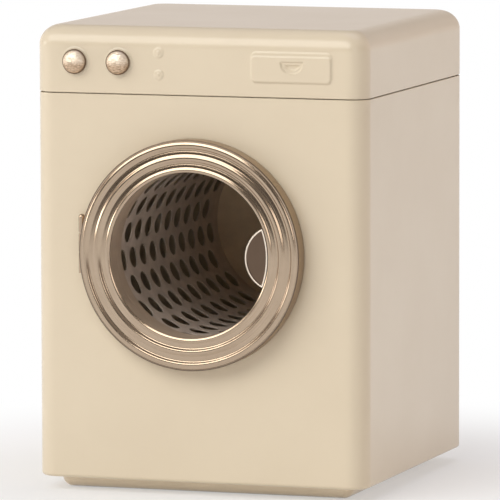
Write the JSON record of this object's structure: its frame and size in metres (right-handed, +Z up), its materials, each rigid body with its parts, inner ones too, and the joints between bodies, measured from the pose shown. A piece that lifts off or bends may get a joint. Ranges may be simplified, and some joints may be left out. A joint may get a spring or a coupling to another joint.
{
  "type": "toy washing machine",
  "caption": "Doll's-house washing machine in sheet metal: slip-on lid, ring door on a side hinge, perforated turning drum, two turning knobs and a recessed base.",
  "frame": {"origin": "middle of the base pan's flat underside, on the surface that the machine stands on", "axes": "+Z up, -Y out of the front with the door, +X to the right as seen from the front"},
  "size_m": [0.0776, 0.081, 0.105],
  "materials": {
    "cream_enamel": "semi-gloss cream enamel on pressed steel sheet",
    "champagne_metal": "satin champagne plating",
    "plain_steel": "plain bright steel",
    "drum_metal": "dull antique-plated steel sheet"
  },
  "bodies": {
    "cabinet": {"cabinet_shell": "cream_enamel", "base_pan": "cream_enamel", "neck_band": "cream_enamel", "hinge_bracket": "cream_enamel", "hinge_pin": "plain_steel", "bearing_plate": "plain_steel", "drum_bush": "champagne_metal"},
    "lid": {"lid_shell": "cream_enamel"},
    "left_dial": {"knob_left": "champagne_metal", "knob_shank_left": "plain_steel", "knob_washer_left": "plain_steel"},
    "right_dial": {"knob_right": "champagne_metal", "knob_shank_right": "plain_steel", "knob_washer_right": "plain_steel"},
    "door": {"door_ring": "champagne_metal", "door_liner": "champagne_metal", "door_knuckle": "champagne_metal", "door_rivets": "plain_steel", "pull_tab": "champagne_metal"},
    "drum": {"drum_shell": "drum_metal", "drum_back": "drum_metal", "drum_axle": "plain_steel", "thrust_washer": "champagne_metal"}
  },
  "joints": [
    {"name": "lid_lift", "type": "slide", "parent": "cabinet", "child": "lid", "axis": [0, 0, 1], "range_m": [0, 0.015]},
    {"name": "left_dial_turn", "type": "hinge", "parent": "lid", "child": "left_dial", "pos_m": [-0.0291, -0.03825, 0.097], "axis": [0, -1, 0], "continuous": true},
    {"name": "right_dial_turn", "type": "hinge", "parent": "lid", "child": "right_dial", "pos_m": [-0.0188, -0.03825, 0.097], "axis": [0, -1, 0], "continuous": true},
    {"name": "door_swing", "type": "hinge", "parent": "cabinet", "child": "door", "pos_m": [-0.02735, -0.03915, 0.05645], "axis": [0, 0, -1], "range_deg": [0, 105]},
    {"name": "drum_spin", "type": "hinge", "parent": "cabinet", "child": "drum", "pos_m": [-0.001, 0, 0.0546], "axis": [0, -1, 0], "continuous": true}
  ]
}
